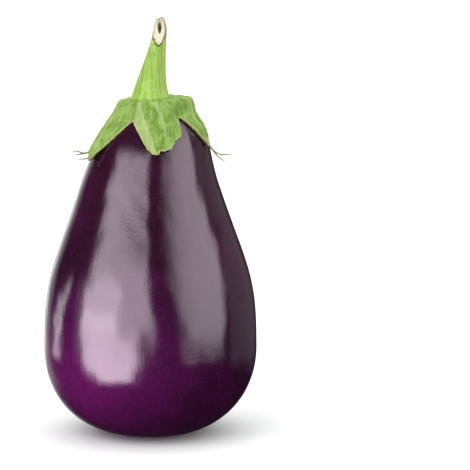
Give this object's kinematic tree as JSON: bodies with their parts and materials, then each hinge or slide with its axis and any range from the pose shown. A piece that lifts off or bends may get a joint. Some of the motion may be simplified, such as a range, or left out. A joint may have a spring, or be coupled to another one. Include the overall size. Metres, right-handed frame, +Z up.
{
  "type": "eggplant",
  "caption": "Whole globe eggplant with a lobed green calyx and a short cut stem, standing upright on its blossom end.",
  "frame": {"origin": "middle of the small flat spot at the blossom end, which the fruit stands on", "axes": "+Z up along the fruit from the blossom end to the stem, -Y towards the front lobe of the calyx, +X towards the side that the stem leans to"},
  "size_m": [0.1024, 0.1031, 0.2],
  "materials": {
    "skin": "very dark purple waxy skin, glossy, faintly streaked from stem to blossom end",
    "calyx": "satin fleshy green sepals with pale veins and a cream rim",
    "stem": "ribbed green stalk with a cream, fibrous cut face"
  },
  "bodies": {
    "root": {"fruit": "skin", "calyx": "calyx", "stem": "stem"}
  },
  "joints": []
}
